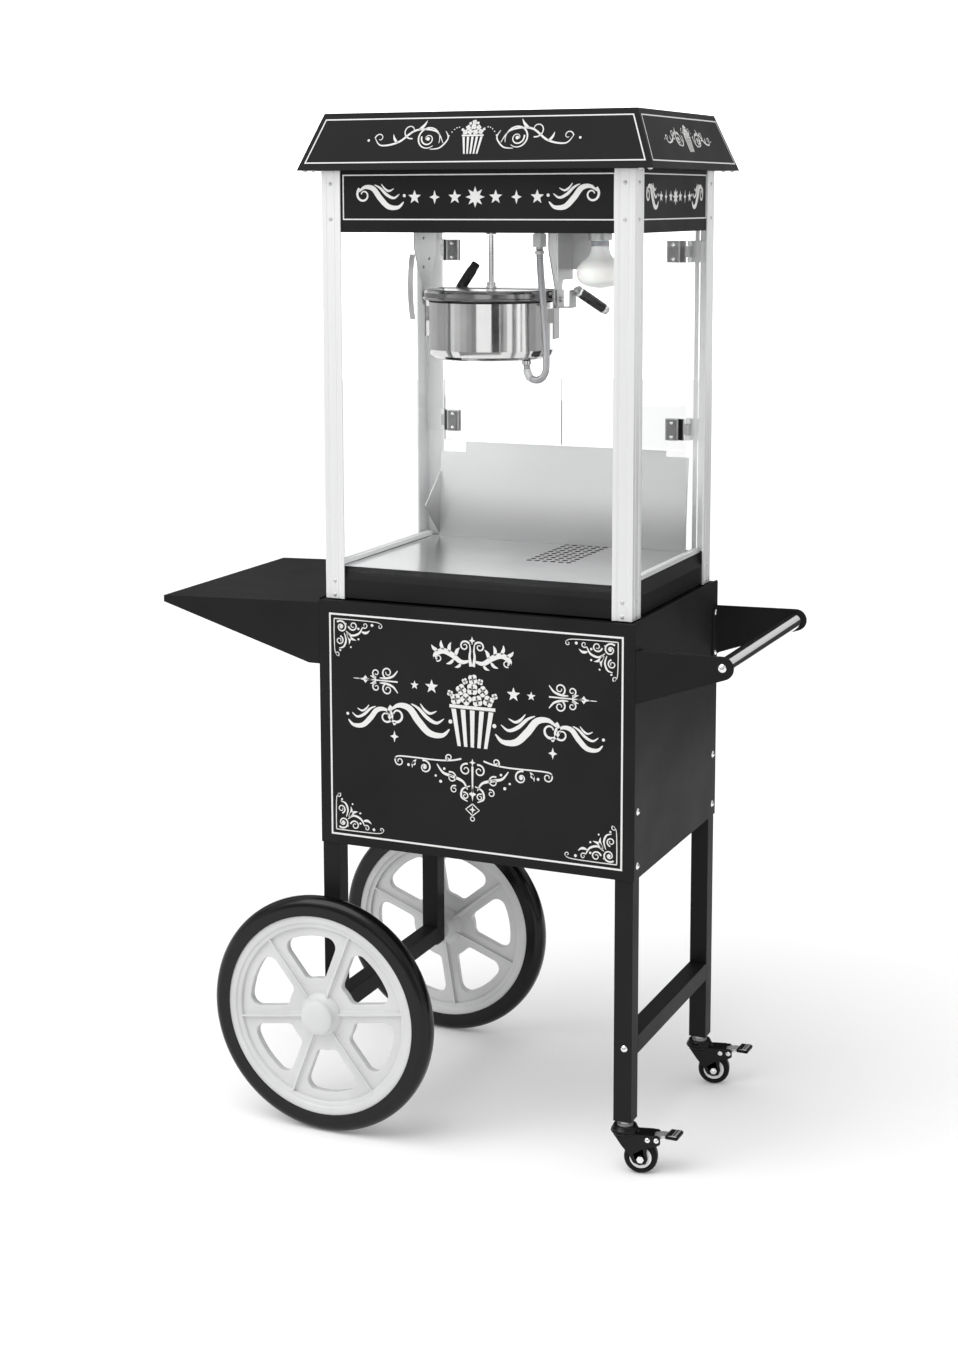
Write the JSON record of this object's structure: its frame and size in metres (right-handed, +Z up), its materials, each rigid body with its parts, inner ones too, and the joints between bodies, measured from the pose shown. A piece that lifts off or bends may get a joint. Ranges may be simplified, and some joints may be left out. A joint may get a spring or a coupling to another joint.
{
  "type": "popcorn cart",
  "caption": "Popcorn machine with a tilting kettle in a glazed cabin, bolted on a cart with spoked wheels, braked casters, a side shelf and a push handle.",
  "frame": {"origin": "on the floor under the middle of the cart's overall box", "axes": "+X along the cart towards the push handle, +Y from the glazed front to the operator's side, +Z up"},
  "size_m": [0.927, 0.508, 1.55],
  "materials": {
    "black_powder_coat": "satin black powder coat, slightly textured",
    "aluminium_extrusion": "bright satin anodised, ribbed",
    "stainless_sheet": "brushed stainless sheet",
    "polished_stainless": "polished stainless",
    "rear_lid": "polished stainless with a black grip",
    "chrome_tube": "bright chrome",
    "zinc_steel": "zinc plated steel",
    "motor_casing": "dark casing",
    "light_grey_plastic": "moulded light grey plastic",
    "tyre_rubber": "glossy black solid tyre",
    "caster_black": "gloss black pressed steel",
    "caster_tread": "black polyurethane",
    "brake_lever": "plated lever with black pad",
    "clear_glass": "clear tempered glass",
    "frosted_glass": "frosted lamp glass",
    "black_plastic": "black plastic",
    "black_grip": "black heat resistant plastic",
    "steel_hose": "interlocked steel hose"
  },
  "bodies": {
    "root": {"cabinet_front_panel": "black_powder_coat", "cabinet_left_panel": "black_powder_coat", "cabinet_right_panel": "black_powder_coat", "cabinet_floor": "black_powder_coat", "cabinet_deck": "black_powder_coat", "legs_left": "black_powder_coat", "legs_right": "black_powder_coat", "stretchers": "black_powder_coat", "side_shelf": "black_powder_coat", "handle_brackets": "black_powder_coat", "base_shell": "black_powder_coat", "header_shell": "black_powder_coat", "roof": "black_powder_coat", "corner_posts": "aluminium_extrusion", "glass_channels": "aluminium_extrusion", "popping_floor": "stainless_sheet", "popcorn_guard": "stainless_sheet", "header_plate": "stainless_sheet", "handle_bar": "chrome_tube", "axle": "zinc_steel", "cart_bolts": "zinc_steel", "machine_screws": "zinc_steel", "cabinet_hinges": "zinc_steel", "caster_stems": "zinc_steel", "kettle_hangers": "zinc_steel", "latch_spring": "zinc_steel", "lamp_socket": "zinc_steel", "door_brackets": "zinc_steel", "gear_motor": "motor_casing", "fixed_glass": "clear_glass", "lamp_bulb": "frosted_glass", "leg_plugs": "black_plastic", "header_sockets": "black_plastic", "kettle_cable": "steel_hose"},
    "front_wheel": {"wheel_front": "light_grey_plastic", "tyre_front": "tyre_rubber"},
    "rear_wheel": {"wheel_rear": "light_grey_plastic", "tyre_rear": "tyre_rubber"},
    "front_caster": {"caster_fork_front": "caster_black"},
    "front_caster_roller": {"caster_wheel_front": "caster_tread"},
    "front_caster_lever": {"caster_brake_front": "brake_lever"},
    "rear_caster": {"caster_fork_rear": "caster_black"},
    "rear_caster_roller": {"caster_wheel_rear": "caster_tread"},
    "rear_caster_lever": {"caster_brake_rear": "brake_lever"},
    "kettle": {"kettle_pot": "polished_stainless", "kettle_heater": "motor_casing", "kettle_handle": "black_grip"},
    "kettle_lid_front": {"lid_front": "polished_stainless"},
    "kettle_lid_rear": {"lid_rear": "rear_lid"},
    "kettle_stirrer": {"stirrer": "zinc_steel"},
    "stirrer_drive": {"drive_shaft": "zinc_steel"},
    "light_rocker": {"switch_light": "black_plastic"},
    "heat_rocker": {"switch_heat": "black_plastic"},
    "stir_rocker": {"switch_stir": "black_plastic"},
    "drawer": {"crumb_drawer": "stainless_sheet"},
    "storage_door": {"cabinet_door": "black_powder_coat"},
    "left_door": {"door_pane_left": "clear_glass", "door_fittings_left": "zinc_steel"},
    "right_door": {"door_pane_right": "clear_glass", "door_fittings_right": "zinc_steel"}
  },
  "joints": [
    {"name": "front_wheel_spin", "type": "hinge", "parent": "root", "child": "front_wheel", "pos_m": [-0.1738, -0.225, 0.186], "axis": [0, 1, 0], "continuous": true},
    {"name": "front_caster_swivel", "type": "hinge", "parent": "root", "child": "front_caster", "pos_m": [0.3028, -0.1773, 0.062], "axis": [0, 0, 1], "continuous": true},
    {"name": "front_caster_roll", "type": "hinge", "parent": "front_caster", "child": "front_caster_roller", "pos_m": [0.32609, -0.17149, 0.025], "axis": [-0.2419, 0.9703, 0], "continuous": true},
    {"name": "front_caster_brake", "type": "hinge", "parent": "front_caster", "child": "front_caster_lever", "pos_m": [0.33579, -0.16907, 0.054], "axis": [-0.2419, 0.9703, 0], "range_deg": [0, 14]},
    {"name": "rear_wheel_spin", "type": "hinge", "parent": "root", "child": "rear_wheel", "pos_m": [-0.1738, 0.225, 0.186], "axis": [0, 1, 0], "continuous": true},
    {"name": "rear_caster_swivel", "type": "hinge", "parent": "root", "child": "rear_caster", "pos_m": [0.3028, 0.1773, 0.062], "axis": [0, 0, 1], "continuous": true},
    {"name": "rear_caster_roll", "type": "hinge", "parent": "rear_caster", "child": "rear_caster_roller", "pos_m": [0.32609, 0.18311, 0.025], "axis": [-0.2419, 0.9703, 0], "continuous": true},
    {"name": "rear_caster_brake", "type": "hinge", "parent": "rear_caster", "child": "rear_caster_lever", "pos_m": [0.33579, 0.18553, 0.054], "axis": [-0.2419, 0.9703, 0], "range_deg": [0, 14]},
    {"name": "kettle_tilt", "type": "hinge", "parent": "root", "child": "kettle", "pos_m": [0.0145, -0.004, 1.276], "axis": [1, 0, 0], "range_deg": [0, 70], "deforming": ["kettle_cable"]},
    {"name": "lid_front_lift", "type": "hinge", "parent": "kettle", "child": "kettle_lid_front", "pos_m": [0.0145, -0.017, 1.284], "axis": [-1, 0, 0], "range_deg": [0, 65]},
    {"name": "lid_rear_lift", "type": "hinge", "parent": "kettle", "child": "kettle_lid_rear", "pos_m": [0.0145, 0.009, 1.284], "axis": [1, 0, 0], "range_deg": [0, 60]},
    {"name": "stirrer_spin", "type": "hinge", "parent": "kettle", "child": "kettle_stirrer", "pos_m": [0.0145, -0.004, 1.3], "axis": [0, 0, 1], "continuous": true},
    {"name": "drive_spin", "type": "hinge", "parent": "root", "child": "stirrer_drive", "pos_m": [0.0145, -0.004, 1.4], "axis": [0, 0, 1], "continuous": true},
    {"name": "drawer_slide", "type": "slide", "parent": "root", "child": "drawer", "axis": [0, 1, 0], "range_m": [0, 0.17]},
    {"name": "storage_door_swing", "type": "hinge", "parent": "root", "child": "storage_door", "pos_m": [-0.1845, 0.197, 0.6], "axis": [0, 0, 1], "range_deg": [0, 110]},
    {"name": "left_door_swing", "type": "hinge", "parent": "root", "child": "left_door", "pos_m": [-0.1445, 0.166, 1.206], "axis": [0, 0, 1], "range_deg": [0, 90]},
    {"name": "right_door_swing", "type": "hinge", "parent": "root", "child": "right_door", "pos_m": [0.2735, 0.166, 1.206], "axis": [0, 0, -1], "range_deg": [0, 90]},
    {"name": "light_switch", "type": "hinge", "parent": "root", "child": "light_rocker", "pos_m": [-0.0055, 0.173, 1.422], "axis": [-1, 0, 0], "range_deg": [0, 14]},
    {"name": "heat_switch", "type": "hinge", "parent": "root", "child": "heat_rocker", "pos_m": [0.0645, 0.173, 1.422], "axis": [-1, 0, 0], "range_deg": [0, 14]},
    {"name": "stir_switch", "type": "hinge", "parent": "root", "child": "stir_rocker", "pos_m": [0.1345, 0.173, 1.422], "axis": [-1, 0, 0], "range_deg": [0, 14]}
  ],
  "couplings": [
    {"joint": "stirrer_spin", "follows": "drive_spin", "ratio": 1}
  ]
}
